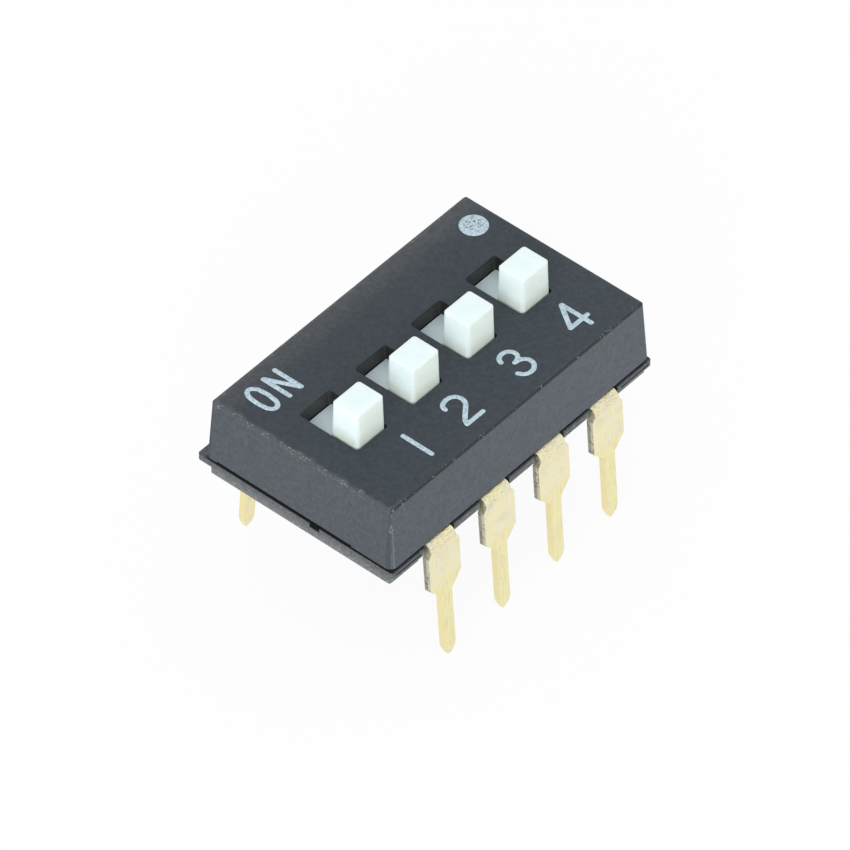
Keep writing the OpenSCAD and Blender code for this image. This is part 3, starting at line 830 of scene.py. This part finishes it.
def layFilm(piece, radius):
    # keeps the upper half of the tubes and presses it flat onto the cover
    makeActive(piece)
    bpy.ops.object.mode_set(mode="EDIT")
    bpy.ops.mesh.select_all(action="SELECT")
    bpy.ops.mesh.bisect(plane_co=(0, 0, 0), plane_no=(0, 0, 1), use_fill=True, clear_inner=True)
    bpy.ops.mesh.select_all(action="SELECT")
    bpy.ops.transform.resize(value=(1, 1, printed["film"] / radius), center_override=(0, 0, 0))
    bpy.ops.mesh.normals_make_consistent(inside=False)
    bpy.ops.object.mode_set(mode="OBJECT")


def settle(piece):
    # onto the cover and from millimetres to metres, with the place kept in the mesh
    makeActive(piece)
    piece.location.z += printed["top"]
    bpy.ops.object.transform_apply(location=True, rotation=True, scale=True)
    piece.scale = (mm, mm, mm)
    bpy.ops.object.transform_apply(location=True, rotation=True, scale=True)
    bpy.ops.object.shade_smooth_by_angle(angle=printed["shadeAngle"])
    piece.data.materials.clear()
    piece.data.materials.append(printInk)
    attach(piece, "housing")
    print("printed", piece.name, len(piece.data.polygons), "faces")


def makeFigure(name, strokes):
    radius = printed["stroke"] / 2
    parts = [part for kind, points in strokes for part in drawStroke(kind, points, radius)]
    deselect()
    for part in parts:
        part.select_set(True)
    bpy.context.view_layer.objects.active = parts[0]
    bpy.ops.object.join()
    figure = bpy.context.object
    figure.name = figure.data.name = name
    fuse = figure.modifiers.new("fuse", "REMESH")
    fuse.mode = "VOXEL"
    fuse.voxel_size = printed["voxel"]
    bpy.ops.object.modifier_apply(modifier="fuse")
    even = figure.modifiers.new("even", "SMOOTH")
    even.iterations = printed["smoothing"]
    bpy.ops.object.modifier_apply(modifier="even")
    layFilm(figure, radius)
    settle(figure)


def makeDot(name):
    # a flat disc with a bevelled upper edge
    deselect()
    x, y = printed["dotAt"]
    bpy.ops.mesh.primitive_cylinder_add(vertices=printed["dotSides"], radius=printed["dotRadius"],
                                        depth=printed["film"], location=(x, y, printed["film"] / 2))
    dot = bpy.context.object
    dot.name = dot.data.name = name
    for face in dot.data.polygons:
        face.select = face.normal.z > 0.9
    for edge in dot.data.edges:
        edge.select = all(dot.data.vertices[corner].co.z > 0 for corner in edge.vertices)
    bpy.ops.object.mode_set(mode="EDIT")
    bpy.ops.mesh.select_mode(type="EDGE")
    bpy.ops.mesh.bevel(offset=printed["film"] * printed["dotBevel"], segments=2, affect="EDGES")
    bpy.ops.mesh.select_all(action="SELECT")
    bpy.ops.mesh.normals_make_consistent(inside=False)
    bpy.ops.object.mode_set(mode="OBJECT")
    settle(dot)


for name, strokes in figures.items():
    makeFigure(name, strokes)
makeDot("mark_dot")


# Floor, light and camera.

studio = {
    "floorSize": 0.8,
    "floorColour": (0.86, 0.865, 0.87, 1.0),
    "white": (1.0, 1.0, 1.0, 1.0),
    "whiteShare": 0.92,  # how much of the floor that is looked at is plain white
    "skyLevel": 0.86,
    "lampPower": 1.0,
    "lampSize": 0.30,
    "lampAt": (-0.30, -0.20, 0.17),
}


def seenRays(tree):
    # 1 for rays from the camera, off a gloss or through glass
    path = place(tree, "ShaderNodeLightPath", -1, 2).outputs
    seen = calc(tree, "MAXIMUM", 0, 2, path["Is Camera Ray"], path["Is Glossy Ray"])
    return calc(tree, "MAXIMUM", 1, 2, seen, path["Is Transmission Ray"])


def makeFloor():
    deselect()
    bpy.ops.mesh.primitive_plane_add(size=studio["floorSize"], location=(0, 0, 0))
    floor = bpy.context.object
    floor.name = "floor"
    material = bpy.data.materials.new("floorPaper")
    material.use_nodes = True
    tree = material.node_tree
    tree.nodes.clear()
    paper = place(tree, "ShaderNodeBsdfDiffuse", 1, 0, {"Color": studio["floorColour"]})
    white = place(tree, "ShaderNodeEmission", 1, 1, {"Color": studio["white"], "Strength": 1.0})
    share = times(tree, 2, 2, seenRays(tree), studio["whiteShare"])
    both = place(tree, "ShaderNodeMixShader", 3, 0, {0: share, 1: paper.outputs[0], 2: white.outputs[0]})
    place(tree, "ShaderNodeOutputMaterial", 4, 0, {"Surface": both.outputs[0]})
    floor.data.materials.append(material)


def makeSky():
    # plain white where it is seen, and a little darker as a light
    world = bpy.data.worlds.new("studioWorld")
    world.use_nodes = True
    tree = world.node_tree
    tree.nodes.clear()
    lift = times(tree, 2, 2, seenRays(tree), 1.0 - studio["skyLevel"])
    level = calc(tree, "ADD", 3, 2, lift, studio["skyLevel"])
    back = place(tree, "ShaderNodeBackground", 4, 0, {"Color": studio["white"], "Strength": level})
    place(tree, "ShaderNodeOutputWorld", 5, 0, {"Surface": back.outputs[0]})
    scene.world = world


def makeLamp():
    # a round soft lamp, turned to face the switch
    deselect()
    bpy.ops.object.light_add(type="AREA", location=studio["lampAt"])
    lamp = bpy.context.object
    lamp.name = "softLamp"
    lamp.data.shape = "DISK"
    lamp.data.size = studio["lampSize"]
    lamp.data.energy = studio["lampPower"]
    x, y, z = studio["lampAt"]
    lamp.rotation_euler = (math.atan2(math.hypot(x, y), z), 0, math.atan2(-x, y) + math.pi)


view = {
    "azimuth": math.radians(-49.156),
    "elevation": math.radians(45.511),
    "distance": 303.66 * mm,
    "aim": (-0.3302 * mm, -0.1499 * mm, stripZ - 0.3418 * mm),
    "lens": 423.53,
    "sensor": 36,
    "nearest": 0.01,
    "farthest": 10,
}


def makeCamera():
    turn = view["azimuth"]
    rise = view["elevation"]
    back = (math.cos(rise) * math.sin(turn), -math.cos(rise) * math.cos(turn), math.sin(rise))
    standing = [aim + view["distance"] * part for aim, part in zip(view["aim"], back)]
    bpy.ops.object.camera_add(location=standing, rotation=(math.pi / 2 - rise, 0, turn))
    camera = bpy.context.object
    camera.name = "camera"
    camera.data.lens = view["lens"]
    camera.data.sensor_width = view["sensor"]
    camera.data.clip_start = view["nearest"]
    camera.data.clip_end = view["farthest"]
    scene.camera = camera


makeFloor()
makeSky()
makeLamp()
makeCamera()
scene.view_settings.view_transform = "Standard"
print("floor, light and camera set")
